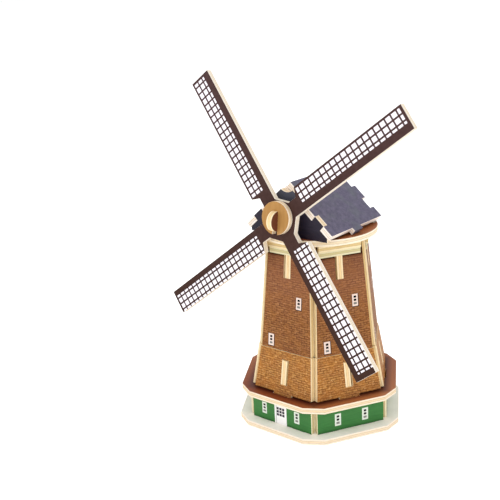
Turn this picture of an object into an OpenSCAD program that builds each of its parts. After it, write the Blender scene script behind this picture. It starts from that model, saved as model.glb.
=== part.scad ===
// Flat-pack wooden windmill puzzle: six-sided base and tower, gabled cap and four sails.
// Every piece is cut from one thickness of sheet wood. Units are millimetres.

/* [Sheet] */
// Thickness of the sheet every piece is cut from
sheet = 3; // [2:0.5:4]
// Width added to a slot that a rib tongue passes through
slot_slack = 0.9; // [0.2:0.1:1.5]
// Radial running clearance of the turning joints
running_fit = 0.05; // [0.02:0.01:0.1]

/* [Base] */
// Radius of the skirt plate to its corners, before they are cut off
base_r = 44.75; // [36:0.25:60]
// Extra radius of the base plate, which stands out past the skirt plate
base_lip = 1.5; // [0:0.1:6]
// Length cut from each side at every corner
corner_cut = 6; // [2:0.5:12]
// Height of the base walls between the two plates
wall_h = 12.8; // [8:0.2:24]
// Distance from the side of the skirt plate to a wall
wall_inset = 4.55; // [3:0.05:8]
// Width of each tongue under a base wall
wall_tongue_w = 7; // [4:0.5:9]
// Distance of each wall tongue from the middle of its wall
wall_tongue_at = 10; // [7:0.5:13]

/* [Tower] */
// Distance of the foot of a lower panel behind the outside of the wall it stands over
foot_set_back = 1.1; // [0.2:0.1:2.5]
// Ledge where a lower panel stands out past the foot of the upper one
waist_ledge = 0.4; // [0.1:0.1:1.5]
// Distance from the axis to an upper panel at its foot
waist_up_out = 28.9; // [22:0.1:34]
// Distance from the axis to an upper panel at its top
top_out = 24.4; // [18:0.1:30]
// Height of the lower panels
lower_h = 21.8; // [14:0.2:34]
// Height of the upper panels up to the two top plates
upper_h = 48.2; // [30:0.2:70]
// Width of the foot tongue of a lower panel
foot_tongue_w = 10.8; // [6:0.2:16]
// Clearance under the foot of a lower panel on both sides of its tongue
foot_clear = 0.37; // [0.2:0.01:2]
// Width of the two horns of an upper panel, beside the top plates
horn_w = 1.2; // [1:0.1:4]
// Distance the upper of the two top plates stands out past the panels
upper_plate_proud = 1; // [0.2:0.1:2]
// Distance the lower of the two top plates stands out past the panels
lower_plate_proud = 0.3; // [0:0.1:2]
// Height above the tower foot where a lower rib tongue starts
low_tongue_z = 5.2; // [3:0.1:8]
// Height of a lower rib tongue
low_tongue_h = 12; // [6:0.2:15]
// Height of an upper rib tongue
top_tongue_h = 11.4; // [6:0.2:20]

/* [Cap] */
// Radius of the round plate under the cap
disc_r = 29.2; // [24:0.1:32]
// Distance of the middle of the round plate behind the tower axis
disc_back = 1; // [0:0.1:3]
// Gap between the tower and the round plate that turns on it
turn_gap = 0.3; // [0.2:0.1:1]
// Radius of the round block the cap turns on
pivot_r = 8; // [6:0.5:10]
// Radius of the round washer that keeps the cap on the tower
keeper_r = 12; // [9:0.5:13]
// Half width of the roof at the eaves
eave_x = 25.2; // [20:0.1:28]
// Height of the eaves above the round plate
eave_up = 3.55; // [2.5:0.05:8]
// Slope of the roof
pitch = 41.5; // [35:0.5:44]
// Rear end of the roof, measured back from the tower axis
roof_rear = 19.3; // [14:0.1:26]
// Start of the lower gable finger, up the slope from the eave
finger_a = 6.2; // [3:0.1:9]
// End of the lower gable finger
finger_b = 12.4; // [8:0.1:16]
// Start of the upper gable finger, which runs to the ridge
finger_c = 20.5; // [17:0.1:28]
// Height of the rear gable's fingers in their notches, which they don't fill
rear_rise = 1; // [0.8:0.1:3]
// Half width of a gable at its foot
gable_half = 22.4; // [16:0.1:24]
// Radius of the hollow in the top of a gable
dip_r = 5.5; // [4:0.5:9]
// Front end of the tongue under each eave, measured forward
eave_tongue_front = 6.8; // [4:0.5:12]
// Width of the tongue under each eave
eave_tongue_w = 6.8; // [5:0.5:14]

/* [Sails] */
// Height of the sail shaft above the round plate, at the front of the sails
hub_up = 9.4; // [8:0.1:12]
// Gap between the sails and the edge of the round plate they pass
sail_gap = 0.45; // [0.3:0.05:3]
// Upward tilt of the sail shaft
shaft_tilt = 6.7; // [2:0.1:9]
// Angle from upright to the first sail
sail_turn = -37.2; // [-90:0.1:90]
// Length of a sail from the shaft
sail_l = 82.4; // [60:0.2:83]
// Width of a sail on its spar side
spar_w = 3.6; // [2:0.1:5]
// Width of a sail on its lattice side
lattice_w = 8.45; // [5:0.05:14]
// Distance from the shaft to the start of the lattice
lattice_from = 16.2; // [14:0.1:24]
// Half width of a spar between the lattice and the middle
neck_w = 4; // [2.5:0.1:6]
// Distance from the shaft to the cut-off inner corners
web_cut = 9.5; // [6:0.1:12]
// Radius of the disc in front of the sails
hub_r = 7.9; // [5:0.1:12]
// Distance of the middle of that disc above the shaft
hub_rise = 1.4; // [0:0.1:3]
// Radius of the half-round fin on the hub disc
fin_r = 4.7; // [3:0.1:8]
// Radius of the sail shaft
shaft_r = 2; // [1.5:0.1:2.5]
// Radius of the spacer between the sails and the gable
spacer_r = 5.5; // [4:0.1:7]
// Radius of the collar that keeps the shaft in, under the roof
collar_r = 4; // [3:0.1:4.5]

/* [Hidden] */
$fn = 96;

t30 = tan(30);
wall_out = base_r * cos(30) - wall_inset;
foot_out = wall_out - foot_set_back;
waist_low_out = waist_up_out + waist_ledge;
skirt_z = sheet + wall_h;
foot_z = skirt_z + sheet;
waist_z = foot_z + lower_h;
top_z = waist_z + upper_h;
tower_z = top_z + 2 * sheet;
disc_z = tower_z + turn_gap;
cap_z = disc_z + sheet;
eave_z = cap_z + eave_up;
hub_z = cap_z + hub_up;
hub_out = disc_r - disc_back + sail_gap + sheet / cos(shaft_tilt) - hub_up * tan(shaft_tilt);
roof_front = hub_out - 2 * sheet * cos(shaft_tilt) - spacer_r * sin(shaft_tilt) - 2 * running_fit;
lean_l = atan((foot_out - waist_low_out) / lower_h);
lean_u = atan((waist_up_out - top_out) / upper_h);
ridge_s = eave_x / cos(pitch);
// Height between the outer and inner corners of a panel's square-cut end
drop_l = sheet * sin(lean_l);
drop_u = sheet * sin(lean_u);
low_len = (lower_h - max(0, drop_u - drop_l)) / cos(lean_l);
up_len = (upper_h + min(0, drop_u)) / cos(lean_u);
horn_len = up_len + 2 * sheet / cos(lean_u);
tol = 0.05;

// Outside of a lower or upper panel at a height, and its inside
function low_out(z) = foot_out - (z - foot_z) * tan(lean_l);
function low_in(z) = low_out(z) - sheet / cos(lean_l);
function up_out(z) = waist_up_out - (z - waist_z) * tan(lean_u);
function up_in(z) = up_out(z) - sheet / cos(lean_u);
// Half width of a panel at a length up its face, so that neighbours meet on their inner edges
function low_half(h) = (foot_out - sheet * cos(lean_l) - h * sin(lean_l)) * t30 - tol;
function up_half(h) = (waist_up_out - sheet * cos(lean_u) - h * sin(lean_u)) * t30 - tol;
// Half width of the notch between the horns, which the top plates fill
function top_notch() = up_half(up_len) - horn_w;
// Corner k of a six-sided plate with its corners cut off
function corner(r, k) = [r * sin(60 * k + 30), -r * cos(60 * k + 30)];
function toward(p, q, d) = p + (q - p) / norm(q - p) * d;
function cut_hexagon(r, c) = [for (k = [0:5], e = [-1, 1]) toward(corner(r, k), corner(r, k + e), c)];
// Point on a roof slope: s up from the eave, d below the outside
function slope(s, d) = [eave_x - s * cos(pitch) - d * sin(pitch), eave_z + s * sin(pitch) - d * cos(pitch)];
// Length of the shaft, from the front of the sails to the back of the collar
function shaft_l() = (hub_out + sheet / 2 + 1.5) / cos(shaft_tilt) + sheet;
// Both halves of an outline given from the axis out on its right side
function both(half) = concat(half, [for (i = [len(half) - 1:-1:0]) [-half[i][0], half[i][1]]]);
// Point of sail k from its length u and its width v to the spar side
function sail_pt(k, u, v) = [u * sin(sail_turn + 90 * k) + v * cos(sail_turn + 90 * k),
    u * cos(sail_turn + 90 * k) - v * sin(sail_turn + 90 * k)];

// Stands a flat outline up as side f of the six, its outside at distance out, leaning in
module side(f, out, z, lean = 0) {
    rotate([0, 0, 60 * f]) translate([0, -out, z]) rotate([-lean, 0, 0]) rotate([90, 0, 0])
        translate([0, 0, -sheet]) linear_extrude(height = sheet) children();
}

// Puts a flat outline across the shaft: z forward from the front of the sails
module on_shaft() {
    translate([0, -hub_out, hub_z]) rotate([-shaft_tilt, 0, 0]) rotate([90, 0, 0]) children();
}

module tongue_slots() {
    for (f = [0:5], e = [-1, 1]) rotate(60 * f)
        translate([e * wall_tongue_at - wall_tongue_w / 2, -wall_out])
            square([wall_tongue_w, sheet]);
}

module base_plate() {
    color("whitesmoke") linear_extrude(height = sheet) difference() {
        polygon(cut_hexagon(base_r + base_lip, corner_cut));
        tongue_slots();
    }
}

module base_wall(f) {
    half = (wall_out - sheet) * t30 - tol;
    color("seagreen") side(f, wall_out, 0) union() {
        translate([-half, sheet]) square([2 * half, wall_h]);
        for (e = [-1, 1]) translate([e * wall_tongue_at - wall_tongue_w / 2, 0])
            square([wall_tongue_w, sheet + 1]);
    }
}

module skirt_plate() {
    slot_out = max(low_out(foot_z), low_out(skirt_z)) + tol;
    slot_in = min(low_in(foot_z), low_in(skirt_z)) - tol;
    color("sienna") translate([0, 0, skirt_z]) linear_extrude(height = sheet) difference() {
        polygon(cut_hexagon(base_r, corner_cut));
        for (f = [0:5]) rotate(60 * f) translate([-foot_tongue_w / 2, -slot_out])
            square([foot_tongue_w, slot_out - slot_in]);
    }
}

module lower_panel(f) {
    h0 = (foot_clear + max(0, drop_l)) / cos(lean_l);
    foot = (max(0, drop_l) - sheet) / cos(lean_l);
    s0 = (low_tongue_z + min(0, drop_l)) / cos(lean_l) - tol;
    s1 = (low_tongue_z + low_tongue_h + max(0, drop_l)) / cos(lean_l) + tol;
    color("peru") side(f, foot_out, foot_z, lean_l) difference() {
        union() {
            polygon([[-low_half(h0), h0], [low_half(h0), h0], [low_half(low_len), low_len],
                [-low_half(low_len), low_len]]);
            translate([-foot_tongue_w / 2, foot]) square([foot_tongue_w, h0 + 1 - foot]);
        }
        translate([-sheet / 2, s0]) square([sheet + slot_slack, s1 - s0]);
    }
}

module upper_panel(f) {
    s0 = (upper_h - top_tongue_h + min(0, drop_u)) / cos(lean_u) - tol;
    color("sienna") side(f, waist_up_out, waist_z, lean_u) difference() {
        polygon([[-up_half(0), 0], [up_half(0), 0], [up_half(horn_len), horn_len],
            [-up_half(horn_len), horn_len]]);
        translate([-top_notch(), up_len]) square([2 * top_notch(), horn_len]);
        translate([-sheet / 2 - slot_slack, s0]) square([sheet + slot_slack, up_len]);
    }
}

module rib_outline() {
    la = foot_z + low_tongue_z;
    lb = la + low_tongue_h;
    ta = top_z - top_tongue_h;
    w = waist_z - 0.7;
    kz = top_z - turn_gap - sheet - 1;
    polygon(both([[low_in(foot_z), foot_z], [low_in(la), la], [low_out(la), la],
        [low_out(lb), lb], [low_in(lb), lb], [low_in(w), w], [up_in(w), w], [up_in(ta), ta],
        [up_out(ta), ta], [up_out(top_z), top_z], [keeper_r + 1.5, top_z],
        [keeper_r + 1.5, kz]]));
}

// A rib in the plane of side f, open over the two ranges of height the other ribs fill
module rib(f, openings) {
    half = (sheet * 1.5 / cos(30)) / 2 + tol;
    color("burlywood") rotate([0, 0, 60 * f]) rotate([90, 0, 90]) translate([0, 0, -sheet / 2])
        linear_extrude(height = sheet) difference() {
            rib_outline();
            for (o = openings) translate([-half, foot_z + o[0] * (lower_h + upper_h)])
                square([2 * half, (o[1] - o[0]) * (lower_h + upper_h)]);
        }
}

module rib_front_rear() { rib(0, [[0.33, 1.1]]); }
module rib_right() { rib(1, [[-0.1, 0.33], [0.66, 1.1]]); }
module rib_left() { rib(2, [[-0.1, 0.66]]); }

module top_plate(z, out) {
    color("wheat") translate([0, 0, z]) linear_extrude(height = sheet) difference() {
        union() {
            circle(r = (up_in(tower_z) - 2 * tol) / cos(30), $fn = 6);
            for (f = [0:2]) rotate(60 * f) translate([-top_notch(), -out])
                square([2 * top_notch(), 2 * out]);
        }
        circle(r = pivot_r + running_fit);
    }
}

module lower_top_plate() { top_plate(top_z, top_out + lower_plate_proud); }
module upper_top_plate() { top_plate(top_z + sheet, top_out + upper_plate_proud); }

module cap_keeper() {
    color("burlywood") translate([0, 0, top_z - turn_gap - sheet]) cylinder(h = sheet, r = keeper_r);
}

module cap_pivot() {
    color("burlywood") translate([0, 0, top_z - turn_gap])
        cylinder(h = disc_z - top_z + turn_gap, r = pivot_r);
}

module cap_disc() {
    color("sienna") translate([0, disc_back, disc_z]) cylinder(h = sheet, r = disc_r, $fn = 144);
}

// Room for the shaft in a plate that stands across the cap
module shaft_bore() {
    on_shaft() translate([0, 0, -60]) cylinder(h = 60, r = shaft_r + running_fit);
}

// A gable with its front face at distance y behind the tower axis, its fingers ending at a
// depth under the outside of the roof
module gable(y, depth = 0) {
    foot_s = (slope(0, sheet)[0] - gable_half) / cos(pitch);
    dip_z = slope(ridge_s, 0)[1] + 1.25;
    translate([0, y + sheet, 0]) rotate([90, 0, 0]) linear_extrude(height = sheet) difference() {
        polygon(both([[gable_half, cap_z], slope(foot_s, sheet), slope(finger_a, sheet),
            slope(finger_a, depth), slope(finger_b, depth), slope(finger_b, sheet),
            slope(finger_c, sheet), slope(finger_c, depth),
            slope(ridge_s - 1 - depth * tan(pitch), depth)]));
        translate([0, dip_z]) circle(r = dip_r);
    }
}

module front_gable() {
    color("midnightblue") difference() {
        gable(-roof_front);
        shaft_bore();
    }
}

module rear_gable() { color("midnightblue") gable(roof_rear - sheet, sheet - rear_rise); }

module bearing_plate() {
    x = gable_half - 2;
    s = (slope(0, sheet)[0] - x) / cos(pitch);
    apex = slope(ridge_s, 0)[1] - sheet / cos(pitch);
    color("burlywood") difference() {
        translate([0, sheet / 2, 0]) rotate([90, 0, 0]) linear_extrude(height = sheet)
            polygon([[-x, cap_z], [x, cap_z], slope(s, sheet), [0, apex],
                [-slope(s, sheet)[0], slope(s, sheet)[1]]]);
        shaft_bore();
    }
}

// Roof slope outline: x up the slope, y to the rear
module roof_outline(top_s) {
    tongue = (cap_z - slope(0, sheet)[1]) / sin(pitch);
    difference() {
        union() {
            translate([0, -roof_front]) square([top_s, roof_front + roof_rear]);
            translate([tongue, -eave_tongue_front]) square([1 - tongue, eave_tongue_w]);
        }
        for (y = [-roof_front - 1, roof_rear - sheet]) {
            translate([finger_a, y]) square([finger_b - finger_a, sheet + 1]);
            translate([finger_c, y]) square([top_s, sheet + 1]);
        }
    }
}

module roof(top_s) {
    color("slategray") translate([eave_x, 0, eave_z]) rotate([0, 180 + pitch, 0])
        linear_extrude(height = sheet) roof_outline(top_s);
}

module right_roof() { roof(ridge_s); }
module left_roof() { mirror([1, 0, 0]) roof(ridge_s - sheet / sin(2 * pitch) - tol); }

module sail_shaft() {
    color("tan") on_shaft() translate([0, 0, -shaft_l()]) cylinder(h = shaft_l(), r = shaft_r);
}

module ring_on_shaft(z, r) {
    color("burlywood") on_shaft() translate([0, 0, z]) difference() {
        cylinder(h = sheet, r = r);
        translate([0, 0, -1]) cylinder(h = sheet + 2, r = shaft_r);
    }
}

module shaft_spacer() { ring_on_shaft(-2 * sheet, spacer_r); }
module shaft_collar() { ring_on_shaft(-shaft_l(), collar_r); }

module sail_cross() {
    color("saddlebrown") on_shaft() translate([0, 0, -sheet]) linear_extrude(height = sheet)
        difference() {
            polygon([for (k = [3:-1:0], p = [[web_cut, spar_w], [sail_l, spar_w],
                [sail_l, -lattice_w], [lattice_from, -lattice_w], [lattice_from - 1.8, -neck_w],
                [web_cut, -neck_w]]) sail_pt(k, p[0], p[1])]);
            circle(r = shaft_r);
        }
}

module hub_disc() {
    color("peru") on_shaft() linear_extrude(height = sheet) difference() {
        translate([0, hub_rise]) circle(r = hub_r);
        translate([-sheet / 2, -hub_r]) square([sheet, hub_r + fin_r * 0.8]);
    }
}

module hub_fin() {
    color("wheat") on_shaft() translate([-sheet / 2, 0, 0]) rotate([0, 90, 0])
        linear_extrude(height = sheet) union() {
            translate([-sheet, -fin_r * 0.8]) square([sheet, fin_r * 1.6]);
            intersection() {
                translate([-sheet, 0]) circle(r = fin_r);
                translate([-sheet - fin_r, -fin_r]) square([fin_r, 2 * fin_r]);
            }
        }
}

base_plate();
base_wall(0);  // base_wall_front
base_wall(1);  // base_wall_front_right
base_wall(2);  // base_wall_rear_right
base_wall(3);  // base_wall_rear
base_wall(4);  // base_wall_rear_left
base_wall(5);  // base_wall_front_left
skirt_plate();
lower_panel(0);  // lower_panel_front
lower_panel(1);  // lower_panel_front_right
lower_panel(2);  // lower_panel_rear_right
lower_panel(3);  // lower_panel_rear
lower_panel(4);  // lower_panel_rear_left
lower_panel(5);  // lower_panel_front_left
upper_panel(0);  // upper_panel_front
upper_panel(1);  // upper_panel_front_right
upper_panel(2);  // upper_panel_rear_right
upper_panel(3);  // upper_panel_rear
upper_panel(4);  // upper_panel_rear_left
upper_panel(5);  // upper_panel_front_left
rib_front_rear();
rib_right();
rib_left();
lower_top_plate();
upper_top_plate();
cap_keeper();
cap_pivot();
cap_disc();
front_gable();
rear_gable();
bearing_plate();
right_roof();
left_roof();
sail_shaft();
shaft_spacer();
shaft_collar();
sail_cross();
hub_disc();
hub_fin();
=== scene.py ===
"""Wooden windmill puzzle: printed 3 mm plywood pieces slotted together, with a turning cap and sails."""
import math

import bpy
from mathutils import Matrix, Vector

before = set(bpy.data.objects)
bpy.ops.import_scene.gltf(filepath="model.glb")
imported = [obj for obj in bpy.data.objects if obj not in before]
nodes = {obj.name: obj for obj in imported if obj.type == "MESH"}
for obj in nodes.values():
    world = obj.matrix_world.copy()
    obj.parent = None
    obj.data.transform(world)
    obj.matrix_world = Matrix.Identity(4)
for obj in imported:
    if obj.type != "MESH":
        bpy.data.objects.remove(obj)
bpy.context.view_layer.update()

# --- Base plate -------------------------------------------------------------------------
# Six-sided floor of the mill, cut from 3 mm birch plywood. Its top is printed in a pale
# paving grey, and its cut edges and underside are bare wood.

# Sizes in mm. Heights are of the tops of the pieces, distances are out from the tower's axis.
SHEET = 3.0
FACES = ("front", "front_right", "rear_right", "rear", "rear_left", "front_left")


def srgb(code):
    """Colour of a six-digit hex code, as linear values."""
    parts = [int(code[i:i + 2], 16) / 255 for i in (1, 3, 5)]
    return tuple(p / 12.92 if p <= 0.04045 else ((p + 0.055) / 1.055) ** 2.4 for p in parts) + (1.0,)


def add(tree, kind, feeds=None, **settings):
    """Adds a node with its settings. A feed is a value, a hex colour, a socket, or a node, whose first
    live output is used."""
    node = tree.nodes.new("ShaderNode" + kind)
    for key, value in settings.items():
        setattr(node, key, value)
    for key, value in (feeds or {}).items():
        if isinstance(value, bpy.types.Node):
            value = next(out for out in value.outputs if out.enabled)
        if isinstance(value, bpy.types.NodeSocket):
            tree.links.new(value, node.inputs[key])
        else:
            node.inputs[key].default_value = srgb(value) if isinstance(value, str) else value
    return node


def patch(tree, colour, x, y, box, code):
    """Prints a rectangle, box = (left, right, low, high) in mm, over a colour."""
    left, right, low, high = box
    across = add(tree, "Math", {0: x, 1: (left + right) / 2, 2: (right - left) / 2}, operation="COMPARE")
    along = add(tree, "Math", {0: y, 1: (low + high) / 2, 2: (high - low) / 2}, operation="COMPARE")
    inside = add(tree, "Math", {0: across, 1: along}, operation="MULTIPLY")
    return add(tree, "Mix", {0: inside, 6: colour, 7: code}, data_type="RGBA")


def plywood(name, place, turn, artwork=None, wood=("#E2C894", "#F2E0B8"), edge=("#F1E0C9", "#E3CBA6"),
            painted_end=0, shine=0.25):
    """Birch plywood, laser cut: bare veneer on the faces, three plies with glue lines on the cut edges,
    and artwork printed on the face that looks along local z. place (mm) is on that face."""
    material = bpy.data.materials.new(name)
    material.use_nodes = True
    tree = material.node_tree
    tree.nodes.clear()
    where = add(tree, "TexCoord")
    # object space is in metres, and every pattern is laid out in mm
    spot = add(tree, "Mapping", {"Vector": where.outputs["Object"], "Location": [c / 1000 for c in place],
               "Rotation": [math.radians(a) for a in turn], "Scale": (0.001, 0.001, 0.001)},
               vector_type="TEXTURE")
    facing = add(tree, "Mapping", {"Vector": where.outputs["Normal"],
                 "Rotation": [math.radians(a) for a in turn]}, vector_type="TEXTURE")
    at = add(tree, "SeparateXYZ", {0: spot})
    look = add(tree, "SeparateXYZ", {0: facing})
    x, y, z = at.outputs
    front = add(tree, "Math", {0: look.outputs[2], 1: 0.7}, operation="GREATER_THAN")
    flat = add(tree, "Math", {0: add(tree, "Math", {0: look.outputs[2]}, operation="ABSOLUTE"), 1: 0.7},
               operation="GREATER_THAN")
    # veneer: fibres about 10 mm long and 0.7 mm wide, drawn coarser than real ones so that they show
    fibres = add(tree, "TexNoise", {"Vector": add(tree, "Mapping", {"Vector": spot, "Scale": (0.1, 1.4, 1.4)}),
                 "Scale": 1.0, "Detail": 5.0, "Roughness": 0.62})
    veneer = add(tree, "Mix", {0: fibres, 6: wood[0], 7: wood[1]}, data_type="RGBA")
    # cut edge: outer plies pale, the core darker, two thin glue lines and a little scorching
    middle, half_core, glue_at, half_glue = -SHEET / 2, 0.5, 0.55, 0.1
    core = add(tree, "Math", {0: z, 1: middle, 2: half_core}, operation="COMPARE")
    glue_a = add(tree, "Math", {0: z, 1: middle - glue_at, 2: half_glue}, operation="COMPARE")
    glue_b = add(tree, "Math", {0: z, 1: middle + glue_at, 2: half_glue}, operation="COMPARE")
    glue = add(tree, "Math", {0: glue_a, 1: glue_b}, operation="MAXIMUM")
    flecks = add(tree, "TexNoise", {"Vector": add(tree, "Mapping", {"Vector": spot, "Scale": (0.35, 0.35, 3.0)}),
                 "Scale": 1.0, "Detail": 4.0, "Roughness": 0.6})
    cut = add(tree, "Mix", {0: core, 6: edge[0], 7: edge[1]}, data_type="RGBA")
    cut = add(tree, "Mix", {0: add(tree, "Math", {0: glue, 1: flecks}, operation="MULTIPLY"), 6: cut,
              7: "#8A6534"}, data_type="RGBA")
    cut = add(tree, "Mix", {0: add(tree, "MapRange", {"Value": flecks, "From Min": 0.5, "From Max": 0.75,
              "To Max": 0.55}), 6: cut, 7: "#CFAF7C"}, data_type="RGBA")
    colour = add(tree, "Mix", {0: flat, 6: cut, 7: veneer}, data_type="RGBA")
    rough = 0.7
    if artwork:
        inked = front
        if painted_end:
            out = add(tree, "Math", {0: x, 1: painted_end}, operation="MULTIPLY")
            end = add(tree, "Math", {0: look.outputs[0], 1: painted_end}, operation="MULTIPLY")
            out = add(tree, "Math", {0: out, 1: 1.0}, operation="GREATER_THAN")
            end = add(tree, "Math", {0: end, 1: 0.7}, operation="GREATER_THAN")
            inked = add(tree, "Math", {0: add(tree, "Math", {0: out, 1: end}, operation="MULTIPLY"), 1: front},
                        operation="MAXIMUM")
        colour = add(tree, "Mix", {0: inked, 6: colour, 7: artwork(tree, x, y, spot)}, data_type="RGBA")
        rough = add(tree, "MapRange", {"Value": inked, "To Min": 0.7, "To Max": 0.5})
    bump = add(tree, "Bump", {"Height": fibres, "Strength": 0.35, "Distance": 0.00005})
    shader = add(tree, "BsdfPrincipled", {"Base Color": colour, "Roughness": rough, "Normal": bump,
                 "Specular IOR Level": shine})
    add(tree, "OutputMaterial", {"Surface": shader})
    return material


def dress(node, material):
    """Gives a CAD piece its material and takes the knife-sharp look off its edges."""
    piece = nodes[node]
    piece.data.materials.clear()
    piece.data.materials.append(material)
    weld = piece.modifiers.new("weld", "WELD")
    weld.merge_threshold = 0.00001
    bevel = piece.modifiers.new("eased edges", "BEVEL")
    bevel.width, bevel.segments = 0.00012, 2
    bevel.limit_method, bevel.angle_limit = "ANGLE", math.radians(35)
    bevel.harden_normals = True


def paving(tree, x, y, spot):
    stains = add(tree, "TexNoise", {"Vector": spot, "Scale": 0.25, "Detail": 4.0})
    return add(tree, "Mix", {0: stains, 6: "#EAE6DF", 7: "#F9F6EF"}, data_type="RGBA")


dress("base_plate", plywood("birch plywood, paving print", (0, 0, SHEET), (0, 0, 0), paving,
      edge=("#EEDFCC", "#E4D0B2")))

# --- Base walls -------------------------------------------------------------------------
# Six low walls that stand in slots of the base plate. Their outer faces are printed in
# Dutch green, with the door on the front wall and small sash windows.

WALL_OUT = 34.2


def sash(tree, colour, x, y, box, frame_code="#DDE4DA"):
    """A printed sash window: pale frame, two dark panes and a grey lower half."""
    left, right, low, high = box
    mid, tall = (left + right) / 2, high - low
    colour = patch(tree, colour, x, y, box, frame_code)
    for part, code, half in ((0.77, "#191418", 0.7), (0.51, "#1C171A", 0.7), (0.23, "#7C7B76", 0.85)):
        at = low + part * tall
        colour = patch(tree, colour, x, y, (mid - half, mid + half, at - 0.09 * tall, at + 0.09 * tall), code)
    return colour


def green_wall(front_wall):
    def artwork(tree, x, y, spot):
        tone = add(tree, "TexNoise", {"Vector": add(tree, "Mapping", {"Vector": spot, "Scale": (0.12, 1.2, 1)}),
                   "Scale": 1.0, "Detail": 3.0})
        colour = add(tree, "Mix", {0: tone, 6: "#26612B", 7: "#3F813D"}, data_type="RGBA")
        # painted shade: the green darkens at the foot of the wall, where it meets the base plate
        wall_foot_shade = add(tree, "MapRange", {"Value": y, "From Min": 4.6, "From Max": 3.0, "To Max": 0.6})
        colour = add(tree, "Mix", {0: wall_foot_shade, 6: colour, 7: "#12401C"}, data_type="RGBA")
        if front_wall:
            colour = sash(tree, colour, x, y, (-12.2, -9.4, 6.4, 12.5))
            colour = sash(tree, colour, x, y, (7.7, 10.8, 6.3, 12.5))
            colour = patch(tree, colour, x, y, (-4.4, 3.0, 2.9, 13.2), "#F1EFF0")
            colour = patch(tree, colour, x, y, (-3.55, -3.25, 2.9, 13.2), "#9FA7A0")
            for column in (-2.4, -0.7, 1.0):
                for row in (11.4, 9.75, 8.1):
                    pane = (column - 0.7, column + 0.7, row - 0.66, row + 0.66)
                    colour = patch(tree, colour, x, y, pane, "#1C1026")
        else:
            colour = sash(tree, colour, x, y, (-8.7, -5.4, 5.6, 12.0))
            colour = sash(tree, colour, x, y, (6.1, 9.4, 5.6, 12.0))
        return colour
    return artwork


for f, face in enumerate(FACES):
    a = math.radians(60 * f)
    # the cut edges are olive and darker than bare ply: painted shade under the skirt
    dress("base_wall_" + face, plywood("birch plywood, green print " + face,
          (WALL_OUT * math.sin(a), -WALL_OUT * math.cos(a), 0), (90, 0, 60 * f), green_wall(f == 0),
          edge=("#F0E8CB", "#C9BC8C")))

# --- Skirt plate ------------------------------------------------------------------------
# Six-sided gallery plate that lies on the walls and takes the feet of the tower panels.
# Printed in red-brown boards on top.

SKIRT_TOP = 18.8


def boards(tree, x, y, spot):
    """Red-brown boards, lighter towards the left and right sides."""
    tone = add(tree, "TexNoise", {"Vector": spot, "Scale": 0.35, "Detail": 6.0, "Roughness": 0.7})
    colour = add(tree, "Mix", {0: tone, 6: "#6A280E", 7: "#985026"}, data_type="RGBA")
    side_lightening = add(tree, "MapRange", {"Value": x, "From Min": 6.0, "From Max": 38.0, "To Max": 0.75})
    left_lightening = add(tree, "MapRange", {"Value": x, "From Min": -24.0, "From Max": -40.0, "To Max": 0.6})
    side_lightening = add(tree, "Math", {0: side_lightening, 1: left_lightening}, operation="MAXIMUM")
    return add(tree, "Mix", {0: side_lightening, 6: colour, 7: "#AF6F42"}, data_type="RGBA")


def skirt_boards(tree, x, y, spot):
    """Boards with painted shade round the foot of the tower, where its panels stand on them."""
    # distance from the middle, measured square to the nearest of the six sides
    reach = None
    for side in (0, 60, 120):
        a = math.radians(side)
        off = add(tree, "VectorMath", {0: spot, 1: (math.sin(a), math.cos(a), 0)}, operation="DOT_PRODUCT")
        off = add(tree, "Math", {0: off.outputs["Value"]}, operation="ABSOLUTE")
        reach = off if reach is None else add(tree, "Math", {0: reach, 1: off}, operation="MAXIMUM")
    # painted shade: the boards darken towards the tower's panels
    foot = add(tree, "MapRange", {"Value": reach, "From Min": 36.8, "From Max": 33.4, "To Max": 0.85})
    return add(tree, "Mix", {0: foot, 6: boards(tree, x, y, spot), 7: "#3E0C04"}, data_type="RGBA")


dress("skirt_plate", plywood("birch plywood, red-brown print", (0, 0, SKIRT_TOP), (0, 0, 0), skirt_boards))

# --- Lower panels -----------------------------------------------------------------------
# Six leaning panels printed in yellow-brown brick, each locked by a foot tongue and by
# the tongue of a rib that comes through its middle slot.

LOWER = dict(out=33.1, foot=18.8, lean=math.degrees(math.atan((33.1 - 29.3) / 21.8)))
UPPER = dict(out=28.9, foot=40.6, lean=math.degrees(math.atan((28.9 - 24.4) / 48.2)))


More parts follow.
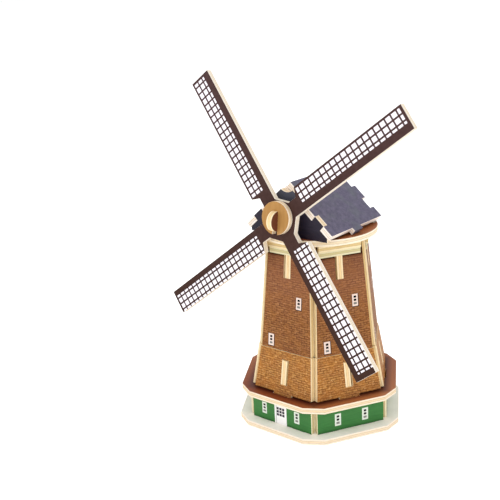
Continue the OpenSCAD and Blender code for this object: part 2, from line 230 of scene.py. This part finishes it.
def brickwork(tree, spot, one, two, mortar, dark, light, warm):
    """Printed bricks 3.1 mm long in courses of 1.12 mm, weathered in streaks along the courses and in
    slow warm patches. The print is matt, so the panels have almost no shine."""
    courses = add(tree, "TexBrick", {"Vector": spot, "Color1": one, "Color2": two, "Mortar": mortar,
                  "Scale": 1.0, "Mortar Size": 0.2, "Mortar Smooth": 0.5, "Bias": 0.0, "Brick Width": 3.1,
                  "Row Height": 1.12})
    slow = add(tree, "TexNoise", {"Vector": spot, "Scale": 0.14, "Detail": 5.0, "Roughness": 0.65})
    streaks = add(tree, "TexNoise", {"Vector": add(tree, "Mapping", {"Vector": spot, "Scale": (0.42, 1.3, 1)}),
                  "Scale": 1.0, "Detail": 7.0, "Roughness": 0.85})
    chips = add(tree, "TexNoise", {"Vector": add(tree, "Mapping", {"Vector": spot, "Scale": (0.6, 0.95, 1)}),
                "Scale": 1.0, "Detail": 3.0, "Roughness": 0.6})
    colour = add(tree, "Mix", {0: add(tree, "MapRange", {"Value": slow, "From Min": 0.42, "From Max": 0.68,
                 "To Max": 0.8}), 6: courses, 7: warm}, data_type="RGBA")
    colour = add(tree, "Mix", {0: add(tree, "MapRange", {"Value": streaks, "From Min": 0.5, "From Max": 0.34,
                 "To Max": 0.85}), 6: colour, 7: dark}, data_type="RGBA")
    colour = add(tree, "Mix", {0: add(tree, "MapRange", {"Value": streaks, "From Min": 0.53, "From Max": 0.66,
                 "To Max": 0.85}), 6: colour, 7: light}, data_type="RGBA")
    return add(tree, "Mix", {0: add(tree, "MapRange", {"Value": chips, "From Min": 0.57, "From Max": 0.68,
               "To Max": 0.5}), 6: colour, 7: dark}, data_type="RGBA")


def yellow_brick(tree, x, y, spot):
    return brickwork(tree, spot, "#A87040", "#BC8648", "#704626", "#5C3618", "#E8B878", "#B47434")


for f, face in enumerate(FACES):
    a = math.radians(60 * f)
    dress("lower_panel_" + face, plywood("birch plywood, yellow brick print " + face,
          (LOWER["out"] * math.sin(a), -LOWER["out"] * math.cos(a), LOWER["foot"]),
          (90 - LOWER["lean"], 0, 60 * f), yellow_brick, edge=("#F4E2BE", "#E8CF9E"), shine=0.05))

# --- Upper panels -----------------------------------------------------------------------
# Six tall panels of dark brick with two small windows each. Their tops are notched for the
# two top plates, and a rib tongue shows in a slot under the notch.


def red_brick(tree, x, y, spot):
    colour = brickwork(tree, spot, "#875535", "#A06D41", "#5A3926", "#4E2F1E", "#C69064", "#986232")
    # the colour shifts towards mauve higher up the panel
    mauve_towards_top = add(tree, "MapRange", {"Value": y, "From Min": 16.0, "From Max": 38.0, "To Max": 0.35})
    colour = add(tree, "Mix", {0: mauve_towards_top, 6: colour, 7: "#966450"}, data_type="RGBA")
    # painted shade: the brick darkens towards the top, under the top plates, and a painted shadow line runs
    # right under them
    under = add(tree, "MapRange", {"Value": y, "From Min": 34.0, "From Max": 48.0, "To Max": 0.3})
    colour = add(tree, "Mix", {0: under, 6: colour, 7: "#4A2A18"}, data_type="RGBA")
    shadow_line_under_plates = add(tree, "MapRange", {"Value": y, "From Min": 46.9, "From Max": 48.0, "To Max": 0.9})
    colour = add(tree, "Mix", {0: shadow_line_under_plates, 6: colour, 7: "#2E1408"}, data_type="RGBA")
    for box in ((5.4, 8.4, 22.5, 28.5), (-10.9, -7.6, 1.3, 7.3)):
        left, right, low, high = box
        colour = patch(tree, colour, x, y, (left - 0.2, right + 0.5, low - 0.5, high + 0.1), "#4A2E22")
        colour = sash(tree, colour, x, y, box, "#E6D3C8")
    return colour


for f, face in enumerate(FACES):
    a = math.radians(60 * f)
    dress("upper_panel_" + face, plywood("birch plywood, dark brick print " + face,
          (UPPER["out"] * math.sin(a), -UPPER["out"] * math.cos(a), UPPER["foot"]),
          (90 - UPPER["lean"], 0, 60 * f), red_brick, edge=("#F0DEB8", "#DEC592"), shine=0.02))

# --- Ribs and top plates ----------------------------------------------------------------
# Three crossing ribs inside the tower, and two plates under the cap, all of bare plywood.

LOWER_TOP, UPPER_TOP = 91.8, 94.8
for f, rib in enumerate(("rib_front_rear", "rib_right", "rib_left")):
    a = math.radians(60 * f)
    dress(rib, plywood("bare birch plywood " + rib, (SHEET / 2 * math.cos(a), SHEET / 2 * math.sin(a), 0),
          (90, 0, 60 * f + 90), edge=("#F4DDB4", "#ECCF9C")))
# the lower plate's cut edges are darker and more olive than the upper plate's: painted shade from the plate
# above
dress("lower_top_plate", plywood("bare birch plywood, lower plate", (0, 0, LOWER_TOP), (0, 0, 0),
      edge=("#DDD8B4", "#C6BE8E")))
dress("upper_top_plate", plywood("bare birch plywood, upper plate", (0, 0, UPPER_TOP), (0, 0, 0),
      edge=("#EFE0B8", "#D9C08A")))

# --- Cap disc and pivot -----------------------------------------------------------------
# The cap stands on a round plate printed red-brown. A bare block and washer under it turn
# in the top plates and hold the cap down.

KEEPER_TOP, PIVOT_TOP, DISC_TOP = 88.5, 91.5, 98.1
dress("cap_keeper", plywood("bare birch plywood, keeper", (0, 0, KEEPER_TOP), (0, 0, 0)))
dress("cap_pivot", plywood("bare birch plywood, pivot", (0, 0, PIVOT_TOP), (0, 0, 0)))
dress("cap_disc", plywood("birch plywood, cap disc print", (0, 0, DISC_TOP), (0, 0, 0), boards,
      edge=("#F6EAD4", "#EAD8B8")))

# --- Gables and roof --------------------------------------------------------------------
# Two gables printed in dark navy boards, a bare plate between them for the shaft, and two
# roof slopes printed in slate. The front gable's fingers come up through notches of the
# slopes, and the rear gable's stop inside theirs.

PITCH, EAVE_X, EAVE_Z = 41.5, 25.2, 101.65
FRONT_GABLE, REAR_GABLE = -23.866, 19.3


def navy_boards(tree, x, y, spot):
    tone = add(tree, "TexNoise", {"Vector": add(tree, "Mapping", {"Vector": spot, "Scale": (0.15, 1.0, 1)}),
               "Scale": 1.0, "Detail": 3.0})
    colour = add(tree, "Mix", {0: tone, 6: "#16121F", 7: "#2B2437"}, data_type="RGBA")
    lit = add(tree, "MapRange", {"Value": y, "From Min": 109.0, "From Max": 116.0, "To Max": 0.85})
    return add(tree, "Mix", {0: lit, 6: colour, 7: "#484A58"}, data_type="RGBA")


def slates(tree, x, y, spot):
    """Slate: blue-grey with violet and green-grey patches."""
    tone = add(tree, "TexNoise", {"Vector": spot, "Scale": 0.4, "Detail": 6.0, "Roughness": 0.75})
    hue = add(tree, "TexNoise", {"Vector": spot, "Scale": 0.13, "Detail": 3.0})
    colour = add(tree, "Mix", {0: add(tree, "MapRange", {"Value": tone, "From Min": 0.3, "From Max": 0.7}),
                 6: "#474257", 7: "#6A657C"}, data_type="RGBA")
    return add(tree, "Mix", {0: add(tree, "MapRange", {"Value": hue, "From Min": 0.48, "From Max": 0.72,
               "To Max": 0.6}), 6: colour, 7: "#5E6468"}, data_type="RGBA")


dress("front_gable", plywood("birch plywood, navy print front", (0, FRONT_GABLE, 0), (90, 0, 0), navy_boards))
# the rear gable's cut edges are grey-brown instead of bare ply: painted shade under the roof
dress("rear_gable", plywood("birch plywood, navy print rear, painted shade on cut edges", (0, REAR_GABLE, 0), (90, 0, 180), navy_boards,
      edge=("#A29A92", "#8A8178")))
dress("bearing_plate", plywood("bare birch plywood, bearing plate", (0, -SHEET / 2, 0), (90, 0, 0)))
dress("right_roof", plywood("birch plywood, slate print right", (EAVE_X, 0, EAVE_Z), (0, PITCH, 0), slates,
      edge=("#FAF1EA", "#F1E4D6"), painted_end=1))
dress("left_roof", plywood("birch plywood, slate print left", (-EAVE_X, 0, EAVE_Z), (0, -PITCH, 0), slates,
      edge=("#FAF1EA", "#F1E4D6"), painted_end=-1))

# --- Sails ------------------------------------------------------------------------------
# One four-armed piece on a wooden dowel that tilts up at the front. The spars are printed
# dark brown, with a white cloth seen through a lattice on one side of each.

TILT, HUB = 6.7, (0, -30.566, 107.5)
SAIL_TURN = -37.2
ACROSS_PITCH, ALONG_PITCH, HALF_BAR = 3.36, 3.1, 0.43
COLLAR_FRONT, FIN_SIDE = 33.8, SHEET / 2
DOWN = math.radians(TILT)


def on_shaft(forward):
    """A point on the shaft, forward of the front of the sails, in mm."""
    return (0, HUB[1] - forward * math.cos(DOWN), HUB[2] + forward * math.sin(DOWN))


def lattice(tree, x, y, spot):
    tone = add(tree, "TexNoise", {"Vector": spot, "Scale": 0.5, "Detail": 5.0})
    low = add(tree, "Mix", {0: tone, 6: "#301B14", 7: "#452D24"}, data_type="RGBA")
    high = add(tree, "Mix", {0: tone, 6: "#3A2523", 7: "#543D3C"}, data_type="RGBA")
    dark = add(tree, "Mix", {0: add(tree, "MapRange", {"Value": y, "From Min": -45.0, "From Max": 60.0}),
               6: low, 7: high}, data_type="RGBA")
    cloth = None
    # for each sail: first bar along it and across it, then the cloth's reach across and along
    for k, (bar_u, bar_w, from_w, to_w, from_u, to_u) in enumerate((
            (18.7, 1.6, 0.1, 7.8, 16.7, 81.1), (18.7, 1.6, 0.1, 7.8, 16.6, 80.9),
            (17.95, 0.85, -0.65, 9.0, 16.3, 79.7), (17.95, 0.85, -0.65, 9.0, 16.1, 81.1))):
        turned = add(tree, "Mapping", {"Vector": spot,
                     "Rotation": (0, 0, math.radians(SAIL_TURN + 90 * k - 90))})
        at = add(tree, "SeparateXYZ", {0: turned})
        u, w = at.outputs[0], at.outputs[1]
        masks = [add(tree, "Math", {0: u, 1: (from_u + to_u) / 2, 2: (to_u - from_u) / 2}, operation="COMPARE"),
                 add(tree, "Math", {0: w, 1: (from_w + to_w) / 2, 2: (to_w - from_w) / 2}, operation="COMPARE")]
        for value, first, pitch in ((u, bar_u, ACROSS_PITCH), (w, bar_w, ALONG_PITCH)):
            off = add(tree, "Math", {0: value, 1: first}, operation="SUBTRACT")
            near = add(tree, "Math", {0: off, 1: pitch / 2}, operation="PINGPONG")
            masks.append(add(tree, "Math", {0: near, 1: HALF_BAR}, operation="GREATER_THAN"))
        white = masks[0]
        for mask in masks[1:]:
            white = add(tree, "Math", {0: white, 1: mask}, operation="MULTIPLY")
        cloth = white if cloth is None else add(tree, "Math", {0: cloth, 1: white}, operation="MAXIMUM")
    return add(tree, "Mix", {0: cloth, 6: dark, 7: "#F6F0F8"}, data_type="RGBA")


def tan_stain(tree, x, y, spot):
    tone = add(tree, "TexNoise", {"Vector": add(tree, "Mapping", {"Vector": spot, "Scale": (0.9, 0.08, 1)}),
               "Scale": 1.0, "Detail": 4.0})
    return add(tree, "Mix", {0: tone, 6: "#9C6C34", 7: "#BE9152"}, data_type="RGBA")


def brown_stain(tree, x, y, spot):
    tone = add(tree, "TexNoise", {"Vector": spot, "Scale": 0.6, "Detail": 4.0})
    return add(tree, "Mix", {0: tone, 6: "#572A18", 7: "#713D25"}, data_type="RGBA")


dress("sail_cross", plywood("birch plywood, sail print", HUB, (90 - TILT, 0, 0), lattice,
      edge=("#EFE6D8", "#E8DCC8"), shine=0.1))
dress("hub_disc", plywood("birch plywood, tan print", on_shaft(SHEET), (90 - TILT, 0, 0), tan_stain))
dress("hub_fin", plywood("birch plywood, brown print", (FIN_SIDE, HUB[1], HUB[2]), (90, 0, 90), brown_stain,
      edge=("#F7E2B8", "#EFD09A")))
dress("shaft_spacer", plywood("bare birch plywood, spacer", on_shaft(-SHEET), (90 - TILT, 0, 0)))
dress("shaft_collar", plywood("bare birch plywood, collar", on_shaft(-COLLAR_FRONT), (90 - TILT, 0, 0)))
dress("sail_shaft", plywood("beech dowel", (0, 0, 500), (90 - TILT, 0, 0), wood=("#C79E66", "#DDBB85")))

# --- Room -------------------------------------------------------------------------------
# Plain white floor and even white light, with a soft lamp at the front and a fill at the right.

bpy.ops.mesh.primitive_plane_add(size=60, location=(0, 0, 0))
floor = bpy.context.object
floor.name = "floor"
paper = bpy.data.materials.new("matt white paper")
paper.use_nodes = True
sheet = paper.node_tree.nodes["Principled BSDF"].inputs
sheet["Base Color"].default_value = (0.95, 0.95, 0.95, 1)
sheet["Emission Color"].default_value = (1, 1, 1, 1)
sheet["Emission Strength"].default_value = 0.45
sheet["Roughness"].default_value = 0.9
floor.data.materials.append(paper)

world = bpy.data.worlds.new("studio")
world.use_nodes = True
world.node_tree.nodes["Background"].inputs["Color"].default_value = (1, 1, 1, 1)
world.node_tree.nodes["Background"].inputs["Strength"].default_value = 1.0
bpy.context.scene.world = world


def softbox(name, place, aim, size, power):
    lamp = bpy.data.lights.new(name, "AREA")
    lamp.shape, lamp.size, lamp.energy = "DISK", size, power
    item = bpy.data.objects.new(name, lamp)
    bpy.context.collection.objects.link(item)
    item.location = place
    item.rotation_euler = (Vector(aim) - Vector(place)).to_track_quat("-Z", "Y").to_euler()


softbox("key softbox", (-0.3, -1.0, 1.1), (0, 0, 0.09), 0.9, 2.0)
softbox("fill softbox", (1.2, -0.5, 0.8), (0, 0, 0.09), 1.0, 1.7)

eye = bpy.data.cameras.new("camera")
eye.lens, eye.sensor_width = 62.99, 36
eye.clip_start, eye.clip_end = 0.01, 100
camera = bpy.data.objects.new("camera", eye)
bpy.context.collection.objects.link(camera)
camera.location = (0.24373, -0.34130, 0.21304)
camera.rotation_euler = [math.radians(a) for a in (73.171, 2.648, 39.359)]
bpy.context.scene.camera = camera
bpy.context.scene.view_settings.view_transform = "Standard"
